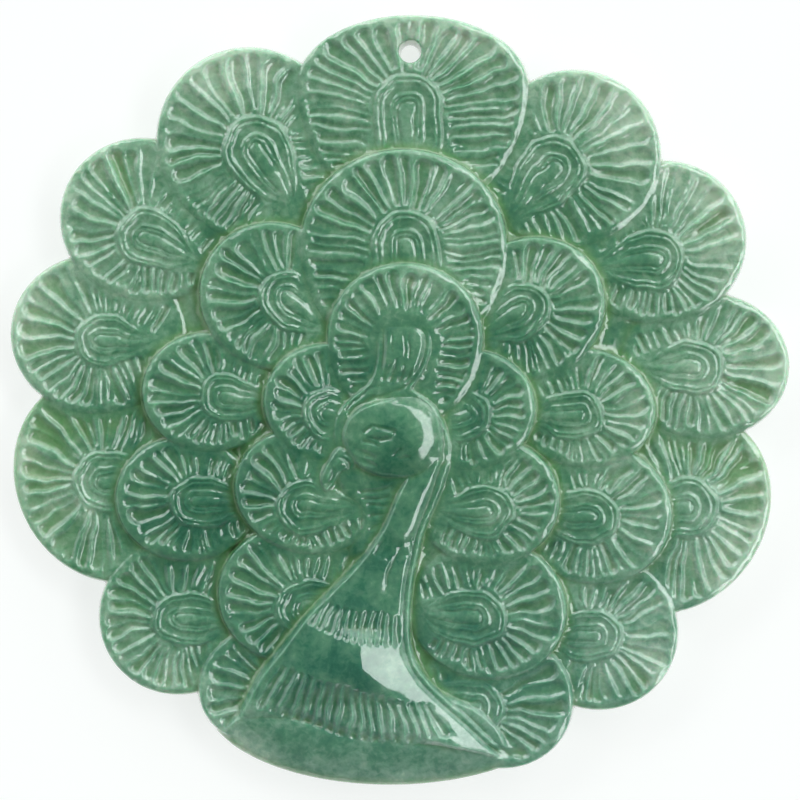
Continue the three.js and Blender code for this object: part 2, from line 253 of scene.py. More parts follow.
# The hood's height over the dome by y, and its crest: by y, how much of it there is and how far it stands
# clear of the feather behind it; then how far in its raised middle starts, the run and height of that step,
# and the place, width and depth of the groove before it.
HOOD_RISE = ((-5.5, 0.6), (-3.5, 0.85), (0.0, 0.95), (3.5, 1.12), (5.6, 1.12), (6.7, 0.8))
CREST_SHARE = ((1.7, 0.0), (2.6, 1.0), (4.6, 1.0), (6.2, 0.0))
CREST_SINKS = ((4.6, 1.0), (5.8, 0.0))
CREST_STEP = (0.5, 0.38, 0.17)
CREST_GROOVE = (0.45, 0.12, 0.1)
HEAD = (
    (-4.3, -2.0), (-3.8, -1.2), (-2.8, -0.5), (-1.6, -0.1), (-0.6, 0.2), (0.4, 0.4), (1.3, 0.2),
    (2.2, -0.3), (2.9, -1.2), (3.3, -2.4), (3.4, -3.6), (3.2, -4.8), (2.6, -5.5), (1.6, -5.9), (0.0, -6.1),
    (-1.6, -5.9), (-3.0, -5.3), (-3.8, -4.5), (-4.3, -3.6), (-4.5, -2.8),
)
# The head's round: centre x, y, height of its top, and its radii to the left, to the right and up and down.
# It flattens towards the beak, and its sides get no steeper than a limit.
HEAD_ROUND = (0.24, -2.86, 5.95, 14.0, 5.5, 5.5)
HEAD_FLATTENS = 0.8
HEAD_STEEPEST = 1.15
HEAD_EDGE = (0.2, 0.12)
# The beak's height over the dome at its edge, its rise and the run of that rise.
BEAK_RISE = (1.0, 0.2, 0.8)
BEAK = (
    (-5.0, -3.8), (-5.7, -4.9), (-6.2, -6.0), (-6.1, -6.8), (-5.7, -7.2), (-5.1, -6.4), (-4.5, -5.6),
    (-3.6, -5.3), (-3.4, -4.4), (-4.3, -3.8),
)
# A thin raised line along an outline: how far in, how wide, how high.
RAISED_LINE = (0.15, 0.1, 0.06)
# Strokes on the face, the beak, the crest and the throat: start, end, half width, bend.
# Their width at the start and their depth go by that half width.
STROKE_START = 0.6
STROKE_STEEP = 0.6
FACE_STROKES = (
    ((-2.17, -2.0), (-3.0, -2.5), 0.22, 0.0), ((-2.2, -2.1), (-0.2, -2.75), 0.26, 0.1),
    ((-2.7, -2.95), (-0.4, -2.95), 0.24, -0.1), ((-1.7, -3.5), (-3.0, -3.15), 0.24, 0.0),
    ((-2.0, -4.5), (-3.7, -3.6), 0.34, 0.1), ((-1.9, -5.2), (-3.3, -4.3), 0.34, 0.1),
    ((-0.5, -4.3), (0.2, -3.7), 0.2, 0.0), ((-0.2, -4.4), (0.9, -4.6), 0.2, 0.0),
)
BEAK_STROKES = (
    ((-4.95, -4.35), (-3.95, -5.5), 0.3, 0.3), ((-5.15, -5.4), (-5.75, -6.9), 0.28, -0.1),
)
CREST_STROKES = (
    ((-0.8, 2.9), (-1.45, 1.6), 0.22, 0.05), ((-0.3, 3.1), (-0.95, 1.4), 0.22, 0.05),
    ((0.4, 2.8), (-0.3, 1.3), 0.2, 0.1), ((0.95, 2.5), (0.2, 1.3), 0.2, 0.1),
    ((1.3, 2.0), (-0.6, 0.75), 0.2, 0.3), ((-0.3, 0.75), (-4.3, -1.3), 0.2, -0.35),
    ((-1.3, 1.3), (-4.4, -0.9), 0.16, -0.2), ((0.3, 5.4), (0.35, 3.4), 0.16, 0.05),
    ((0.75, 5.2), (0.75, 3.2), 0.16, 0.05), ((-0.7, 5.2), (-0.75, 3.6), 0.16, 0.0),
)
# The smooth throat under the chin and left of the neck: its outline, its height over the dome by y,
# and its fall.
THROAT = (
    (-4.6, -5.8), (-3.4, -5.2), (-0.6, -5.6), (0.9, -5.6), (0.8, -7.2), (0.1, -8.6), (-0.7, -9.9),
    (-1.6, -11.1), (-2.6, -12.0), (-3.1, -11.6), (-2.7, -10.3), (-2.6, -8.9), (-3.1, -7.9), (-4.2, -7.0),
)
THROAT_RISE = ((-11.0, 0.5), (-8.5, 0.6), (-6.0, 0.85))
THROAT_FALL = 0.45
THROAT_STROKES = (
    ((-0.6, -6.7), (-3.3, -7.1), 0.22, 0.15), ((-0.9, -7.5), (-3.0, -7.7), 0.22, 0.1),
    ((-1.0, -8.4), (-2.6, -8.3), 0.2, -0.1), ((-1.0, -9.0), (-2.5, -9.3), 0.2, -0.1),
    ((-1.4, -9.7), (-2.4, -10.4), 0.2, -0.1),
)

coords = np.linspace(-FIELD_HALF, FIELD_HALF, 2 * round(FIELD_HALF / FIELD_STEP) + 1)
SPACING = coords[1] - coords[0]
true_x, true_y = np.meshgrid(coords, coords)
carver = np.random.default_rng(CARVER_SEED)


def wander(size, shortest, longest):
    """The wander of a hand over the field: a few waves in every direction."""
    waves = np.zeros(true_x.shape)
    for _ in range(WANDER_WAVES):
        turn, phase = carver.uniform(0, 2 * math.pi, 2)
        length = carver.uniform(shortest, longest)
        waves += np.sin(2 * math.pi * (true_x * math.cos(turn) + true_y * math.sin(turn)) / length + phase)
    return size * waves / math.sqrt(WANDER_WAVES / 2)


# Where the carver's hand puts what is drawn at a place.
drawn_x = true_x + wander(*HAND_WANDER)
drawn_y = true_y + wander(*HAND_WANDER)
smooth = np.full(true_x.shape, OUTSIDE)
carving = np.zeros(true_x.shape)


def dome(x, y):
    """Height of the blank's dome."""
    share = np.minimum(1.0, np.hypot(x, y) / FAN_RADIUS)
    return RIM_HEIGHT + DOME_RISE * (1 - share ** 2)


def window(x_low, x_high, y_low, y_high):
    """The part of the field that covers a box, as two slices."""
    def span(low, high):
        first = int(np.clip((low + FIELD_HALF) / SPACING, 0, len(coords) - 1))
        last = int(np.clip((high + FIELD_HALF) / SPACING + 2, first + 1, len(coords)))
        return slice(first, last)
    return span(y_low, y_high), span(x_low, x_high)


def lobe_inside(x, y, lobe):
    """How far along a lobe's direction a point is, and how far inside its outline, both in millimetres."""
    centre_x, centre_y, direction, tip, half, root = lobe
    turn = math.radians(direction)
    along = (x - centre_x) * math.cos(turn) + (y - centre_y) * math.sin(turn)
    across = (y - centre_y) * math.cos(turn) - (x - centre_x) * math.sin(turn)
    reach = np.where(along > 0, tip, root)
    share = np.sqrt((along / reach) ** 2 + (across / half) ** 2) + TINY
    slope = np.sqrt((along / reach ** 2) ** 2 + (across / half ** 2) ** 2) / share + TINY
    return along, (1 - share) / slope


def rim_fall(inside, drop=BAND_DROP):
    """The bevelled band and the rounded edge of a lobe, running on steeply outside it."""
    band = drop * (1 - np.clip(inside / BAND_WIDTH, 0, 1)) ** BAND_CURVE
    edge = 1 - np.clip(inside / EDGE_WIDTH, 0, 1)
    rounded = EDGE_FALL * (1 - np.sqrt(1 - edge ** 2))
    return band + rounded + EDGE_STEEP * np.maximum(0, -inside)


def eye_share(x, y, eye_turn, radius, tail_share):
    """Where points off an eye's centre lie in its teardrop, 1 on its outline, and how wide that is there.
    All its loops run into the tip of the tail."""
    turn = math.radians(eye_turn)
    tailward = -x * math.cos(turn) - y * math.sin(turn)
    across = y * math.cos(turn) - x * math.sin(turn)
    pointed, blunt = EYE_TAPER
    width = 1 - np.clip(tailward / (TAIL_SHARE * radius), 0, TAIL_END) ** (pointed + blunt * tail_share)
    return np.hypot(np.minimum(0, tailward), across) / (radius * width), width


def eased(value, pairs):
    """Height read from pairs of place and height, eased in and out between them."""
    places, heights = np.array(pairs).T
    step = np.clip(np.searchsorted(places, value) - 1, 0, len(places) - 2)
    share = np.clip((value - places[step]) / (places[step + 1] - places[step]), 0, 1)
    share = share * share * (3 - 2 * share)
    return heights[step] + share * (heights[step + 1] - heights[step])


def gouge(cut, area, start, end, half_start, half_end, depth, bend=0.0, ripple=0.0):
    """One stroke of the wheel: narrow and shallow at its start, a wide flat scoop with a rounded end."""
    run = np.subtract(end, start)
    length = float(np.hypot(*run))
    towards = run / length
    margin = max(half_start, half_end) + abs(bend) + WHEEL_MARGIN
    rows, columns = window(min(start[0], end[0]) - margin, max(start[0], end[0]) + margin,
                           min(start[1], end[1]) - margin, max(start[1], end[1]) + margin)
    rows = slice(max(rows.start, area[0].start), min(rows.stop, area[0].stop))
    columns = slice(max(columns.start, area[1].start), min(columns.stop, area[1].stop))
    if rows.start >= rows.stop or columns.start >= columns.stop:
        return
    x = drawn_x[rows, columns] - start[0]
    y = drawn_y[rows, columns] - start[1]
    along = x * towards[0] + y * towards[1]
    share = np.clip(along / length, 0, 1)
    across = y * towards[0] - x * towards[1] - 4 * bend * share * (1 - share)
    left = np.maximum(0, length - along)
    cap = np.sqrt(1 - (1 - np.minimum(1, left / min(WHEEL_ROUND * half_end, length))) ** 2)
    scoop = 1 - (1 - np.minimum(1, left / min(WHEEL_END * half_end, length))) ** WHEEL_FLAT
    off = across / ((half_start + (half_end - half_start) * share) * cap + TINY)
    deep = depth * np.minimum(1, WHEEL_START + WHEEL_DEEPENS * share) * scoop
    floor = 1 - np.abs(off) ** WHEEL_FLAT - ripple * np.maximum(0, np.cos(math.pi * off)) * share
    stroke = np.where((along > 0) & (along < length), deep * np.clip(floor, 0, None), 0)
    local = cut[rows.start - area[0].start:rows.stop - area[0].start,
                columns.start - area[1].start:columns.stop - area[1].start]
    np.maximum(local, stroke, out=local)


def uneven(low, high, count):
    """Places that share a span by eye and not by rule."""
    chances = np.clip(carver.normal(0, 1, count), -CHANCE_LIMIT, CHANCE_LIMIT)
    steps = 1 + BARB_SPACING_VARIES * chances
    return low + (high - low) * np.concatenate(((0,), np.cumsum(steps) / steps.sum()))


def barbs(cut, area, lobe, eye_x, eye_y, eye_turn, radius, tail_share):
    """Gouged barbs that stand square on the eye's outline, meet in sharp ridges and run out to the rim."""
    length = radius * TAIL_SHARE
    tail = radius * tail_share
    shoulder = math.pi / 2 + math.asin((radius - tail) / length)
    places = uneven(-1, 1, round(2 * shoulder * BARB_CROWD / math.radians(BARB_TURN)))
    ridges = shoulder * places * (BARB_CROWD - (BARB_CROWD - 1) * places ** 2)
    strokes = [((a + b) / 2, 0.0, (b - a) / 2, True) for a, b in zip(ridges, ridges[1:])]
    flank = math.sqrt(length ** 2 - (radius - tail) ** 2)
    for side in (-1, 1):
        ridges = uneven(0, flank, round(flank / BARB_PITCH))
        strokes += [(side * shoulder, (a + b) / 2, (b - a) / 2, False) for a, b in zip(ridges, ridges[1:])]
    base = math.radians(eye_turn)
    reach_steps = np.arange(0, BARB_REACH, BARB_REACH_STEP)
    for turn, back, half, fanned in strokes:
        aim, end, deep, bend, rippled = np.clip(carver.normal(0, 1, 5), -CHANCE_LIMIT, CHANCE_LIMIT)
        heading = base + turn + BARB_HEADING_VARIES * aim
        towards = np.array((math.cos(heading), math.sin(heading)))
        tailward = math.copysign(1, turn) * np.array((-towards[1], towards[0]))
        gap = BARB_GAP + BARB_START_VARIES * aim
        start = np.array((eye_x, eye_y)) + towards * gap * radius + tailward * back
        ray = start[:, None] + towards[:, None] * reach_steps
        inside = lobe_inside(ray[0], ray[1], lobe)[1] - OUTLINE_INSET
        rim = np.nonzero(inside < BARB_RIM + BARB_END_VARIES * abs(end))[0]
        run = reach_steps[rim[0]] if len(rim) else 0
        if run < BARB_SHORTEST:
            continue
        half_start = half * BARB_GAP * radius if fanned else BARB_FLANK_START * half
        half_end = min(BARB_WIDEST, half * (BARB_GAP * radius + run) if fanned else half)
        depth = (BARB_LEAST + BARB_STEEP * half_end) * (1 + BARB_DEPTH_VARIES * deep)
        gouge(cut, area, start, start + towards * run, half_start, half_end, depth,
              BARB_BEND_VARIES * run * bend, HAND_RIPPLE * rippled)


def lay_over(area, inside, level, cut, sunk=1.0, drop=BAND_DROP):
    """Lays a layer with its carving on the field. What is beside it is cut down first, to a smooth valley."""
    beside = np.maximum(0, -inside)
    need = np.maximum(0, smooth[area] - (level - OVERLAP_STEP))
    smooth[area] -= sunk * need * np.exp(-(beside / OVERLAP_RUN) ** OVERLAP_CURVE)
    carving[area] *= 1 - np.exp(-(beside / VALLEY_WIDTH) ** 2)
    rimmed = level - rim_fall(inside, drop)
    above = rimmed > smooth[area]
    carving[area] = np.where(above, -cut, carving[area])
    smooth[area] = np.maximum(smooth[area], rimmed)


def feather(ring, x, y, direction, tip, half, eye_x, eye_y, eye_turn, radius, tail_share, lift, eyed):
    lobe = (x, y, direction, tip, half, half * ROOT_SHARE)
    reach = max(tip, half * ROOT_SHARE) + FEATHER_MARGIN
    area = window(x - reach, x + reach, y - reach, y + reach)
    px, py = true_x[area], true_y[area]
    along, inside = lobe_inside(px, py, lobe)
    inside = inside - OUTLINE_INSET
    plane = dome(px, py) + RING_STEP * ring + lift + TIP_LIFT * np.clip(along / tip, TIP_LIFT_FROM, 1)
    cut = np.zeros(px.shape)
    barbs(cut, area, lobe, eye_x, eye_y, eye_turn, radius, tail_share)
    if eyed:
        share, width = eye_share(drawn_x[area] - eye_x, drawn_y[area] - eye_y, eye_turn, radius, tail_share)
        cut = cut * np.clip((share - 1) / EYE_CLEAR, 0, 1) - eased(share, EYE_PROFILE) * width ** EYE_FADE
    crown = PILLOW * (1 - np.exp(-np.maximum(0, inside) / PILLOW_RUN))
    lay_over(area, inside, plane + crown, cut)


def ground():
    """The blank between the feather roots."""
    out = np.hypot(true_x, true_y)
    level = dome(true_x, true_y) + np.interp(out, *np.array(GROUND_LEVELS).T)
    smooth[:] = np.where(out < GROUND_RADIUS, level, smooth)


def foot_level(px, py):
    """How far inside the foot's outline, and how high it is, before it gives way to the feathers."""
    x, y, half, reach, low, rise, run = FOOT
    inside = lobe_inside(px, py, (x, y, -90, reach, half, half))[1] - OUTLINE_INSET
    return inside, low + rise * (1 - (1 - np.clip(inside / run, 0, 1)) ** 2)


def foot():
    x, y, half, reach, *_ = FOOT
    area = window(x - half - FOOT_MARGIN, x + half + FOOT_MARGIN, y - reach - FOOT_MARGIN, y + FOOT_ABOVE)
    px, py = true_x[area], true_y[area]
    inside, level = foot_level(px, py)
    over_top = py - np.interp(px, *np.array(FOOT_TOP).T)
    aside = (px + py) / math.sqrt(2) - FOOT_SIDE
    rimmed = level - rim_fall(inside) - FOOT_FALL * (np.maximum(0, over_top) + np.maximum(0, aside))
    carving[area] = np.where(rimmed > smooth[area], 0, carving[area])
    smooth[area] = np.maximum(smooth[area], rimmed)


def curve_through(place, places, values):
    """A smooth curve through given places and values, its slopes taken from their neighbours."""
    places, values = np.array(places, float), np.array(values, float)
    slopes = np.gradient(values, places)
    step = np.clip(np.searchsorted(places, place) - 1, 0, len(places) - 2)
    gap = places[step + 1] - places[step]
    t = np.clip((place - places[step]) / gap, 0, 1)
    return ((2 * t ** 3 - 3 * t ** 2 + 1) * values[step] + (t ** 3 - 2 * t ** 2 + t) * gap * slopes[step]
            + (3 * t ** 2 - 2 * t ** 3) * values[step + 1] + (t ** 3 - t ** 2) * gap * slopes[step + 1])


def strokes_between(first, last, start_sag, end_sag, count):
    """Starts and ends of a row of strokes between the first and the last, the middle ones hanging lower."""
    for share in np.linspace(0, 1, count):
        hang = 1 - (2 * share - 1) ** 2
        start, end = ((1 - share) * np.array(f) + share * np.array(l) for f, l in zip(first, last))
        yield start - (0, start_sag * hang), end - (0, end_sag * hang)


def off_line(px, py, ax, ay, bx, by):
    """How far points are from the straight line between two places."""
    share = ((px - ax) * (bx - ax) + (py - ay) * (by - ay)) / ((bx - ax) ** 2 + (by - ay) ** 2)
    share = np.clip(share, 0, 1)
    return np.hypot(px - ax - share * (bx - ax), py - ay - share * (by - ay))


def edge_distance(px, py, edge_y, edge_x):
    """How far points are from a smooth edge through given places."""
    steps_y = np.linspace(edge_y[0], edge_y[-1], EDGE_SAMPLES)
    steps_x = curve_through(steps_y, edge_y, edge_x)
    nearest = np.full(px.shape, FAR)
    for ends in zip(steps_x, steps_y, steps_x[1:], steps_y[1:]):
        nearest = np.minimum(nearest, off_line(px, py, *ends))
    return nearest


def soft_lower(one, other):
    """The lower of two levels, with the crease between them rubbed round."""
    gap = np.abs(one - other)
    return np.minimum(one, other) - BODY_BLEND * np.maximum(0, 1 - gap / (4 * BODY_BLEND)) ** 2


def body():
    rows = np.array(BODY)[::-1]
    area = window(*BODY_WINDOW)
    px, py = true_x[area], true_y[area]
    left, right, left_level, right_level, top = (
        curve_through(py, rows[:, 0], column) for column in rows.T[1:])
    hem_x, hem_y = np.array(BODY_HEM).T
    above_hem = py - curve_through(px, hem_x, hem_y)
    from_left = np.copysign(edge_distance(px, py, rows[:, 0], rows[:, 1]), px - left)
    from_right = np.copysign(edge_distance(px, py, rows[:, 0], rows[:, 2]), right - px)
    inside = np.minimum(np.minimum(from_left, from_right), rows[-1, 0] - py)
    left_facet = left_level + BODY_LEFT_SLOPE * from_left
    right_facet = right_level + np.interp(py, *np.array(BODY_RIGHT_SLOPE).T) * from_right
    level = soft_lower(soft_lower(left_facet, top), right_facet)
    sinking = np.clip(above_hem / np.interp(px, *np.array(HEM_RUNS).T), 0, 1)
    ground_level = foot_level(px, py)[1]
    level = ground_level + (level - ground_level) * sinking * sinking * (3 - 2 * sinking)
    width = np.interp(py, *np.array(BODY_BORDER).T)
    border_level = np.where(
        from_left < from_right, left_level - BODY_LEFT_DROP, right_level - BODY_RIGHT_DROP)
    border_level = border_level - np.maximum(0, 1 - above_hem) - np.interp(py, *np.array(BORDER_GOES_DOWN).T)
    border_level = border_level + BORDER_BEAD * (1 - (2 * np.clip(-from_right / width, 0, 1) - 1) ** 2)
    border_inside = np.minimum(np.minimum(inside, from_right) + width, above_hem)
    border_inside = np.minimum(np.minimum(border_inside, from_left), rows[-1, 0] - py)
    nothing = np.zeros(px.shape)
    sunk = np.clip(above_hem / BODY_SINKS, 0, 1) * np.clip((BODY_SINKS_FROM - py) / BODY_SINKS, 0, 1)
    lay_over(area, border_inside, border_level, nothing, sunk, 0.0)
    cut = nothing.copy()
    for first_start, first_end, last_start, last_end, start_sag, end_sag, count, wide, depth in COLLARS:
        collar = strokes_between((first_start, first_end), (last_start, last_end), start_sag, end_sag, count)
        for start, end in collar:
            gouge(cut, area, start, end, COLLAR_START * wide, wide, depth)
    facet_start, facet_end, wide, depth = BODY_FACET
    gouge(cut, area, facet_start, facet_end, 0.0, wide, depth)
    inside = np.minimum(inside, above_hem)
    place, wide, high = BODY_LIP
    lip = high * np.exp(-((from_left - place) / wide) ** 2)
    edge = BODY_EDGE_ROUND * np.exp(-np.maximum(0, inside) / BODY_EDGE_ROUND)
    walled = level + lip - edge - BODY_WALL * np.maximum(0, -inside)
    above = walled > smooth[area]
    carving[area] = np.where(above, -cut, carving[area])
    smooth[area] = np.maximum(smooth[area], walled)


def outline_inside(px, py, ring):
    """How far inside a smooth closed outline through a ring of points, negative outside."""
    ring = np.array(ring)
    before, after, next_after = np.roll(ring, 1, 0), np.roll(ring, -1, 0), np.roll(ring, -2, 0)
    pieces = []
    for t in (0, 0.25, 0.5, 0.75):
        pieces.append(0.5 * (2 * ring + (after - before) * t
                             + (2 * before - 5 * ring + 4 * after - next_after) * t ** 2
                             + (3 * ring - before - 3 * after + next_after) * t ** 3))
    points = np.stack(pieces, 1).reshape(-1, 2)
    nearest = np.full(px.shape, FAR)
    within = np.zeros(px.shape, bool)
    for (ax, ay), (bx, by) in zip(points, np.roll(points, -1, 0)):
        nearest = np.minimum(nearest, off_line(px, py, ax, ay, bx, by))
        crosses = (ay > py) != (by > py)
        if ay != by:
            within ^= crosses & (px < ax + (py - ay) * (bx - ax) / (by - ay))
    return np.where(within, nearest, -nearest)


def around(ring):
    """The window of the field round a ring of points."""
    low_x, low_y = np.min(ring, 0) - RING_MARGIN
    high_x, high_y = np.max(ring, 0) + RING_MARGIN
    return window(low_x, high_x, low_y, high_y)


def strokes_cut(area, strokes):
    """A few single strokes, as one cut."""
    cut = np.zeros(true_x[area].shape)
    for start, end, half, bend in strokes:
        gouge(cut, area, start, end, STROKE_START * half, half, STROKE_STEEP * half, bend)
    return cut


def raised_line(inside):
    """The thin line left standing along an outline."""
    place, width, height = RAISED_LINE
    return height * np.exp(-((inside - place) / width) ** 2)


def hood():
    """The crest over the head and the band that runs from it round the face and down the nape."""
    area = around(HOOD)
    px, py = true_x[area], true_y[area]
    inside = outline_inside(px, py, HOOD)
    level = dome(px, py) + np.interp(py, *np.array(HOOD_RISE).T)
    on_crest = np.interp(py, *np.array(CREST_SHARE).T)
    start, run, height = CREST_STEP
    place, width, depth = CREST_GROOVE
    step = height * np.clip((inside - start) / run, 0, 1)
    groove = depth * np.exp(-((inside - place) / width) ** 2)
    cut = np.maximum(strokes_cut(area, CREST_STROKES), groove * on_crest) - step * on_crest
    sunk = np.interp(py, *np.array(CREST_SINKS).T)
    lay_over(area, inside, level, cut - raised_line(inside) * sunk, sunk)


def throat():
    area = around(THROAT)
    px, py = true_x[area], true_y[area]
    outside = np.maximum(0, -outline_inside(px, py, THROAT))
    level = dome(px, py) + np.interp(py, *np.array(THROAT_RISE).T) - THROAT_FALL * outside
    carving[area] = np.where(level > smooth[area], -strokes_cut(area, THROAT_STROKES), carving[area])
    smooth[area] = np.maximum(smooth[area], level)


def head():
    area = around(HEAD)
    px, py = true_x[area], true_y[area]
    inside = outline_inside(px, py, HEAD)
    x, y, top, left_radius, right_radius, long_radius = HEAD_ROUND
    cross_radius = np.where(px > x, right_radius, left_radius)
    long_radius = long_radius + HEAD_FLATTENS * np.maximum(0, x - px) ** 2
    out = np.sqrt((px - x) ** 2 / cross_radius + (py - y) ** 2 / long_radius)
    bent = np.minimum(out, HEAD_STEEPEST)
    level = top - bent * (out - bent / 2)
    drop, run = HEAD_EDGE
    edge = drop * np.exp(-np.maximum(0, inside) / run)
    walled = level - edge - EDGE_STEEP * np.maximum(0, -inside)
    above = walled > smooth[area]
    carving[area] = np.where(above, raised_line(inside) - strokes_cut(area, FACE_STROKES), carving[area])
    smooth[area] = np.maximum(smooth[area], walled)


def beak():
    area = around(BEAK)
    px, py = true_x[area], true_y[area]
    inside = outline_inside(px, py, BEAK)
    low, rise, run = BEAK_RISE
    level = dome(px, py) + low + rise * np.clip(inside / run, 0, 1)
    lay_over(area, inside, level, strokes_cut(area, BEAK_STROKES) - raised_line(inside), 0.0)


def polish(field):
    """Rounds the cut edges over as polishing does: one light blur of the field."""
    for axis in (0, 1):
        field = (np.roll(field, 1, axis) + 2 * field + np.roll(field, -1, axis)) / 4
    return field


def carve():
    """Cuts the layers from the lowest to the highest, then drills and polishes. Returns the field."""
    ground()
    for name, row in FEATHERS.items():
        feather(*row, name != CRESTED_FEATHER)
        if name == LAST_UNDER_FOOT:
            foot()
    hood()
    throat()
    body()
    head()
    beak()
    x, y, radius = CORD_HOLE
    drilled = CUT_LEVEL + CORD_HOLE_STEEP * (np.hypot(true_x - x, true_y - y) - radius)
    return polish(np.minimum(smooth + carving + wander(*HAND_RUBBING), drilled))


def hollows(field):
    """How far each place lies below what is round it, in millimetres."""
    around_it = np.maximum(field, HOLLOW_RIM)
    for axis in (0, 1):
        shifted = (np.roll(around_it, step, axis) for step in range(-HOLLOW_REACH, HOLLOW_REACH + 1))
        around_it = sum(shifted) / (2 * HOLLOW_REACH + 1)
    return around_it - field


def boundary_edges(bm):
    return [edge for edge in bm.edges if edge.is_boundary]


def sideways(bm):
    """For each vertex of an open boundary, the level direction out of the material."""
    out = {}
    for edge in boundary_edges(bm):
        face = edge.link_faces[0]
        loop = next(l for l in face.loops if l.edge == edge)
        run = loop.link_loop_next.vert.co - loop.vert.co
        for vert in edge.verts:
            out[vert] = out.get(vert, Vector()) + Vector((run.y, -run.x, 0))
    return {vert: way.normalized() for vert, way in out.items()}


# The edge below the cut, down to the flat back: height, and how far in from the widest line.
EDGE_STEPS = ((1.5, -0.05), (0.95, 0.0), (0.5, 0.12), (0.18, 0.34), (0.0, 0.7))


def pendant():
    field = carve()
    bm = bmesh.new()
    bmesh.ops.create_grid(bm, x_segments=len(coords) - 1, y_segments=len(coords) - 1, size=FIELD_HALF)
    mesh = bpy.data.meshes.new("peacock_pendant")
    bm.to_mesh(mesh)
    bm.free()
    points = np.empty(3 * len(mesh.vertices))
    mesh.vertices.foreach_get("co", points)
    points = points.reshape(-1, 3)
    column, row = (np.rint((points[:, k] + FIELD_HALF) / SPACING).astype(int) for k in (0, 1))
    points[:, 2] = field[row, column]
    mesh.vertices.foreach_set("co", points.ravel())
    bm = bmesh.new()
    bm.from_mesh(mesh)
    bmesh.ops.bisect_plane(bm, geom=bm.verts[:] + bm.edges[:] + bm.faces[:], dist=CUT_SNAP,
                           plane_co=(0, 0, CUT_LEVEL), plane_no=(0, 0, 1), clear_inner=True)
    bm.to_mesh(mesh)
    triangles = sum(len(face.verts) - 2 for face in bm.faces)
    bm.free()
    stone = bpy.data.objects.new("jade_pendant", mesh)
    bpy.context.scene.collection.objects.link(stone)
    thin = stone.modifiers.new("thin", "DECIMATE")
    thin.ratio = TOP_TRIANGLES / triangles
    thinned = bpy.data.meshes.new_from_object(stone.evaluated_get(bpy.context.evaluated_depsgraph_get()))
    stone.modifiers.clear()
    bm = bmesh.new()
    bm.from_mesh(thinned)
    bm.normal_update()
    way_out = sideways(bm)
    start = {vert: vert.co.copy() for vert in way_out}
    origin = {vert: vert for vert in way_out}
    for level, inset in EDGE_STEPS:
        made = bmesh.ops.extrude_edge_only(bm, edges=boundary_edges(bm))
        fresh = {v for v in made["geom"] if isinstance(v, bmesh.types.BMVert)}
        for vert in fresh:
            old = next(e.other_vert(vert) for e in vert.link_edges if e.other_vert(vert) not in fresh)
            origin[vert] = origin[old]
            vert.co = start[origin[vert]] - way_out[origin[vert]] * inset
            vert.co.z = level
    for face in bm.faces:
        face.smooth = True
    back = bmesh.ops.triangle_fill(bm, use_beauty=True, use_dissolve=False, edges=boundary_edges(bm))
    for face in back["geom"]:
        if isinstance(face, bmesh.types.BMFace):
            face.smooth = False
    bmesh.ops.recalc_face_normals(bm, faces=bm.faces)
    bmesh.ops.scale(bm, vec=(MM, MM, MM), verts=bm.verts)
    bm.to_mesh(mesh)
    bm.free()
    bpy.data.meshes.remove(thinned)
    points = np.empty(3 * len(mesh.vertices))
    mesh.vertices.foreach_get("co", points)
    points = points.reshape(-1, 3) / MM
    column, row = (np.rint((points[:, k] + FIELD_HALF) / SPACING).astype(int) for k in (0, 1))
    depths = np.where(points[:, 2] > CUT_LEVEL, hollows(field)[row, column], 0)
    mesh.attributes.new("hollow", "FLOAT", "POINT").data.foreach_set("value", depths)
    rise_y, rise_x = (rise[row, column] for rise in np.gradient(field, SPACING))
    leaning = np.stack((-rise_x, -rise_y, np.ones(len(points))), 1)
    leaning /= np.linalg.norm(leaning, axis=1, keepdims=True)
    leaning[points[:, 2] < CUT_LEVEL + FIELD_STEP] = 0
    mesh.normals_split_custom_set_from_vertices(leaning.tolist())
    return stone


# Light boxes on the sky: first and last azimuth, degrees off the vertical of the inner and the outer side,
# the azimuth from which the inner side swings out and where it ends up at the last azimuth, and the light.
BOXES = (
    (-50, 97, 33, 49, 52, 49, 4.3),
    (97, 160, 48, 62, 97, 48, 2.9),
)
BOX_EDGE = math.radians(1.5)
# The room's light overhead and at the horizon, and between how many degrees off the vertical it changes.
ROOM_OVERHEAD = 0.15
ROOM_HORIZON = 1.7
ROOM_CHANGES = (48, 66)
# How much of that light there is at the front, and from where to where along Y it comes up to all of it.
ROOM_FRONT = 0.2
ROOM_FRONT_ENDS = (-0.6, 0.9)
ROOM_WHITE = "#f6fbfb"

# The greens of the stone from deep to pale, and how deep its middle is.
JADE_GREENS = (
    (0.15, "#29654f"), (0.35, "#417f63"), (0.58, "#679d7b"), (0.8, "#98bfa2"), (1.0, "#c6dfc7"),
)
JADE_DEPTH = -0.4
# How much paler the thin rim is painted, a painted glow of light through the edge, and how late that starts,
# and the way in which painted light from the lit side pales the stone across.
RIM_PAINTED_GLOW = 0.4
RIM_POWER = 6.0
PAINTED_LIGHT_TOWARDS = (0.45, 0.7, 0.0)
PAINTED_LIGHT_ACROSS = 0.13
# The way to the foot. Along it, in millimetres, the stone gets deeper and its hue turns to blue: from, to,
# and the value there.
FOOTWARD = (0.25, -0.97, 0.0)
FOOT_DEEPER = (25.6, 29.0, -0.15)
FOOT_BLUER = (8.0, 27.0, 0.523)
HUE_UNTURNED = 0.5
# Clouds a centimetre wide, mottles of two millimetres and flecks of half a millimetre:
# width, detail, roughness and how much each gives to the tone.
JADE_PATTERNS = {
    "clouds": (12.0, 6.0, 0.6, 0.8),
    "mottles": (2.2, 5.0, 0.6, 0.7),
    "flecks": (0.5, 3.0, 0.5, 0.4),
}
JADE_SWIRL = 0.5
# The green of recesses, and the paler painted highlight of ridges: the depth in millimetres where it starts
# and where it is full, how much of it shows then, and its colour.
RECESS_GREEN = (0.02, 0.3, 0.5, "#7cab5e")
RIDGE_PAINTED_HIGHLIGHT = (-0.02, -0.25, 0.09, "#b4d8bd")
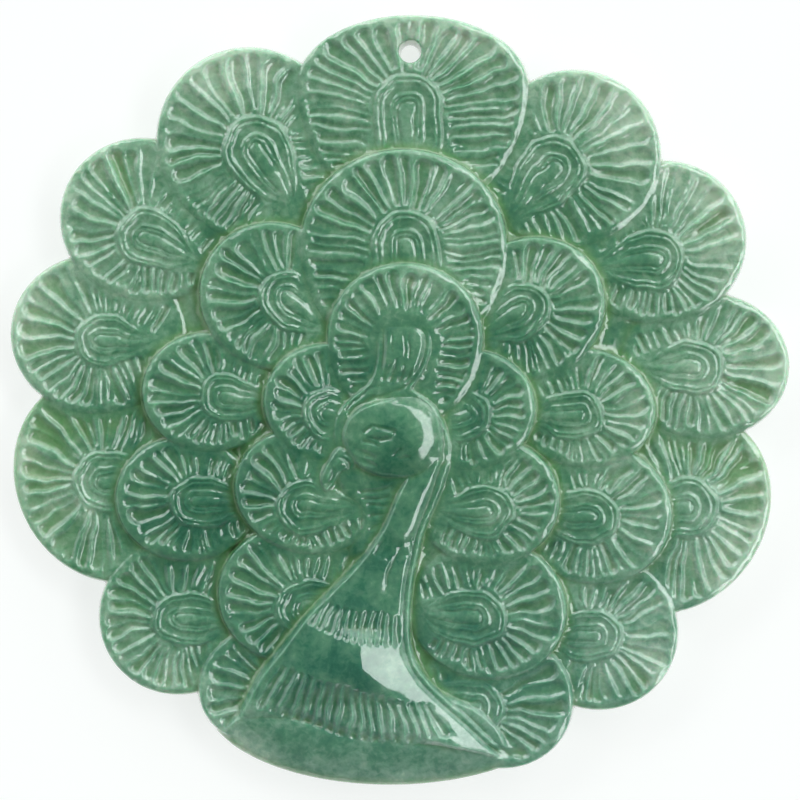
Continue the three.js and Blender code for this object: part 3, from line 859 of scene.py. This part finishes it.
# The polish: roughness where a mottle is weak and where it is strong.
MOTTLE_WEAK = 0.3
MOTTLE_STRONG = 0.7
POLISH_BEST = 0.05
POLISH_WORST = 0.14
# The last wheel marks: width, detail, roughness, strength, depth.
WHEEL_MARKS = (0.9, 2.0, 0.5, 0.12, 0.1)
JADE_IOR = 1.62
WAX_ROUGHNESS = 0.03
# How much light goes into the stone, how far each colour gets, and the scale of that in millimetres.
GLOW = 0.9
GLOW_COLOURS = (0.45, 1.0, 0.7)
GLOW_DEPTH = 0.7


def linear(hex_colour):
    """An sRGB hex colour as linear values with full alpha."""
    values = [int(hex_colour[i:i + 2], 16) / 255 for i in (1, 3, 5)]
    return [v / 12.92 if v <= 0.04045 else ((v + 0.055) / 1.055) ** 2.4 for v in values] + [1.0]


def node(tree, kind, settings=None, inputs=None):
    """Adds a node: its properties, and for each input either a value or an output to link."""
    made = tree.nodes.new(kind)
    for name, value in (settings or {}).items():
        setattr(made, name, value)
    for name, value in (inputs or {}).items():
        if isinstance(value, bpy.types.NodeSocket):
            tree.links.new(value, made.inputs[name])
        else:
            made.inputs[name].default_value = value
    return made


def polished_jade():
    """Translucent green jade, cut with wheels and polished: cloudy greens, wet gloss, light in thin edges."""
    material = bpy.data.materials.new("polished_jade")
    material.use_nodes = True
    tree = material.node_tree
    shader = tree.nodes["Principled BSDF"]
    place = node(tree, "ShaderNodeTexCoord").outputs["Object"]
    # Deep green in the middle; paler towards the thin rim, a painted glow of light through the edge, and
    # paler to the upper right, painted light from the lit side.
    out = node(tree, "ShaderNodeVectorMath", {"operation": "LENGTH"}, {0: place}).outputs["Value"]
    out = node(tree, "ShaderNodeMath", {"operation": "MULTIPLY"}, {
        0: out, 1: 1 / (FAN_RADIUS * MM)}).outputs[0]
    # Painted glow: the thin rim is painted paler, as light through the edge would show.
    rim = node(tree, "ShaderNodeMath", {"operation": "POWER"}, {0: out, 1: RIM_POWER}).outputs[0]
    tone = node(tree, "ShaderNodeMath", {"operation": "MULTIPLY_ADD"}, {
        0: rim, 1: RIM_PAINTED_GLOW, 2: JADE_DEPTH}).outputs[0]
    # Painted light: the stone is painted paler towards the lit upper right.
    across = node(tree, "ShaderNodeVectorMath", {"operation": "DOT_PRODUCT"}, {
        0: place, 1: PAINTED_LIGHT_TOWARDS}).outputs["Value"]
    tone = node(tree, "ShaderNodeMath", {"operation": "MULTIPLY_ADD"}, {
        0: across, 1: PAINTED_LIGHT_ACROSS / (FAN_RADIUS * MM), 2: tone}).outputs[0]
    # Darker towards the foot, most of all at its right end.
    footward = node(tree, "ShaderNodeVectorMath", {"operation": "DOT_PRODUCT"}, {
        0: place, 1: FOOTWARD}).outputs["Value"]
    start, end, deepest = FOOT_DEEPER
    deeper = node(tree, "ShaderNodeMapRange", inputs={
        "Value": footward, "From Min": start * MM, "From Max": end * MM, "To Max": deepest}).outputs[0]
    tone = node(tree, "ShaderNodeMath", {"operation": "ADD"}, {0: tone, 1: deeper}).outputs[0]
    patterns = {}
    for name, (width, detail, roughness, share) in JADE_PATTERNS.items():
        patterns[name] = node(tree, "ShaderNodeTexNoise", inputs={
            "Vector": place, "Scale": 1 / (width * MM), "Detail": detail, "Roughness": roughness,
            "Distortion": JADE_SWIRL}).outputs["Fac"]
        tone = node(tree, "ShaderNodeMath", {"operation": "MULTIPLY_ADD"}, {
            0: patterns[name], 1: share, 2: tone}).outputs[0]
    greens = node(tree, "ShaderNodeValToRGB", inputs={"Fac": tone})
    bands = greens.color_ramp.elements
    while len(bands) < len(JADE_GREENS):
        bands.new(1.0)
    for band, (position, green) in zip(bands, JADE_GREENS):
        band.position = position
        band.color = linear(green)
    # The stone turns bluer towards the foot.
    start, end, turned = FOOT_BLUER
    hue = node(tree, "ShaderNodeMapRange", inputs={
        "Value": footward, "From Min": start * MM, "From Max": end * MM,
        "To Min": HUE_UNTURNED, "To Max": turned}).outputs[0]
    colour = node(tree, "ShaderNodeHueSaturation", inputs={
        "Hue": hue, "Color": greens.outputs["Color"]}).outputs["Color"]
    # Recesses look olive, and ridges are painted a little paler, a painted highlight.
    hollow = node(tree, "ShaderNodeAttribute", {"attribute_name": "hollow"}).outputs["Fac"]
    for start, full, most, green in (RECESS_GREEN, RIDGE_PAINTED_HIGHLIGHT):
        share = node(tree, "ShaderNodeMapRange", inputs={
            "Value": hollow, "From Min": start, "From Max": full, "To Max": most}).outputs[0]
        colour = node(tree, "ShaderNodeMixRGB", inputs={
            "Fac": share, "Color1": colour, "Color2": linear(green)}).outputs["Color"]
    tree.links.new(colour, shader.inputs["Base Color"])
    gloss = node(tree, "ShaderNodeMapRange", inputs={
        "Value": patterns["mottles"], "From Min": MOTTLE_WEAK, "From Max": MOTTLE_STRONG,
        "To Min": POLISH_BEST, "To Max": POLISH_WORST}).outputs[0]
    tree.links.new(gloss, shader.inputs["Roughness"])
    # The last wheel marks, too fine to measure, drawn wide enough to break the reflections a little.
    width, detail, roughness, strength, depth = WHEEL_MARKS
    marks = node(tree, "ShaderNodeTexNoise", inputs={
        "Vector": place, "Scale": 1 / (width * MM), "Detail": detail, "Roughness": roughness,
        "Distortion": JADE_SWIRL}).outputs["Fac"]
    bumps = node(tree, "ShaderNodeBump", inputs={
        "Height": marks, "Strength": strength, "Distance": depth * MM}).outputs["Normal"]
    tree.links.new(bumps, shader.inputs["Normal"])
    shader.inputs["IOR"].default_value = JADE_IOR
    # A last coat of wax, rubbed bright.
    shader.inputs["Coat Weight"].default_value = 1.0
    shader.inputs["Coat Roughness"].default_value = WAX_ROUGHNESS
    shader.inputs["Subsurface Weight"].default_value = GLOW
    shader.inputs["Subsurface Radius"].default_value = GLOW_COLOURS
    shader.inputs["Subsurface Scale"].default_value = GLOW_DEPTH * MM
    return material


def studio_paper():
    """White sweep paper, lit from below so that hardly a shadow shows."""
    material = bpy.data.materials.new("studio_paper")
    material.use_nodes = True
    shader = material.node_tree.nodes["Principled BSDF"]
    shader.inputs["Base Color"].default_value = linear("#909190")
    shader.inputs["Roughness"].default_value = 0.9
    shader.inputs["Specular IOR Level"].default_value = 0.0
    shader.inputs["Emission Color"].default_value = linear("#fdfffe")
    shader.inputs["Emission Strength"].default_value = 0.78
    return material


def floor():
    bm = bmesh.new()
    bmesh.ops.create_grid(bm, x_segments=1, y_segments=1, size=1.0)
    mesh = bpy.data.meshes.new("floor")
    bm.to_mesh(mesh)
    bm.free()
    paper = bpy.data.objects.new("floor", mesh)
    mesh.materials.append(studio_paper())
    bpy.context.scene.collection.objects.link(paper)


def camera():
    """Looks straight down on the face, the photograph's angle, with a long lens."""
    lens, sensor = 120.0, 36.0
    frame_width = 63.2 * MM
    outline_level = 3.0 * MM
    data = bpy.data.cameras.new("camera")
    data.lens = lens
    data.sensor_width = sensor
    data.clip_start = 5.0 * MM
    eye = bpy.data.objects.new("camera", data)
    eye.location = (0, 0, outline_level + frame_width * lens / sensor)
    bpy.context.scene.collection.objects.link(eye)
    bpy.context.scene.camera = eye


def studio():
    """Two strip boxes, at the right and behind, in a room that is dim overhead and pale round the horizon."""
    world = bpy.data.worlds.new("studio")
    world.use_nodes = True
    bpy.context.scene.world = world
    tree = world.node_tree
    soft = {"interpolation_type": "SMOOTHSTEP"}
    way = node(tree, "ShaderNodeTexCoord").outputs["Generated"]
    x, y, z = node(tree, "ShaderNodeSeparateXYZ", inputs={0: way}).outputs
    azimuth = node(tree, "ShaderNodeMath", {"operation": "ARCTAN2"}, {0: y, 1: x}).outputs[0]
    off_vertical = node(tree, "ShaderNodeMath", {"operation": "ARCCOSINE"}, {0: z}).outputs[0]
    start, end = (math.radians(angle) for angle in ROOM_CHANGES)
    room = node(tree, "ShaderNodeMapRange", soft, {
        "Value": off_vertical, "From Min": start, "From Max": end,
        "To Min": ROOM_OVERHEAD, "To Max": ROOM_HORIZON}).outputs[0]
    start, end = ROOM_FRONT_ENDS
    front = node(tree, "ShaderNodeMapRange", soft, {
        "Value": y, "From Min": start, "From Max": end, "To Min": ROOM_FRONT}).outputs[0]
    light = node(tree, "ShaderNodeMath", {"operation": "MULTIPLY"}, {0: room, 1: front}).outputs[0]
    for first, last, inner, outer, swings_from, swings_to, strength in BOXES:
        side = node(tree, "ShaderNodeMapRange", soft, {
            "Value": azimuth, "From Min": math.radians(swings_from), "From Max": math.radians(last),
            "To Min": math.radians(inner), "To Max": math.radians(swings_to)}).outputs[0]
        past_side = node(tree, "ShaderNodeMath", {"operation": "SUBTRACT"}, {
            0: off_vertical, 1: side}).outputs[0]
        box = node(tree, "ShaderNodeMapRange", soft, {
            "Value": past_side, "From Min": -BOX_EDGE, "From Max": BOX_EDGE}).outputs[0]
        for angle, low, high in ((azimuth, first, last), (off_vertical, inner, outer)):
            middle, half = math.radians((low + high) / 2), math.radians((high - low) / 2)
            off = node(tree, "ShaderNodeMath", {"operation": "SUBTRACT"}, {0: angle, 1: middle}).outputs[0]
            off = node(tree, "ShaderNodeMath", {"operation": "ABSOLUTE"}, {0: off}).outputs[0]
            within = node(tree, "ShaderNodeMapRange", soft, {
                "Value": off, "From Min": half - BOX_EDGE, "From Max": half + BOX_EDGE,
                "To Min": 1.0, "To Max": 0.0}).outputs[0]
            box = node(tree, "ShaderNodeMath", {"operation": "MULTIPLY"}, {0: box, 1: within}).outputs[0]
        light = node(tree, "ShaderNodeMath", {"operation": "MULTIPLY_ADD"}, {
            0: box, 1: strength, 2: light}).outputs[0]
    back = tree.nodes["Background"]
    back.inputs["Color"].default_value = linear(ROOM_WHITE)
    tree.links.new(light, back.inputs["Strength"])
    bpy.context.scene.view_settings.view_transform = "Standard"


camera()
stone = pendant()
stone.data.materials.append(polished_jade())
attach(stone, "root")
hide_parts("peacock_pendant")
floor()
studio()
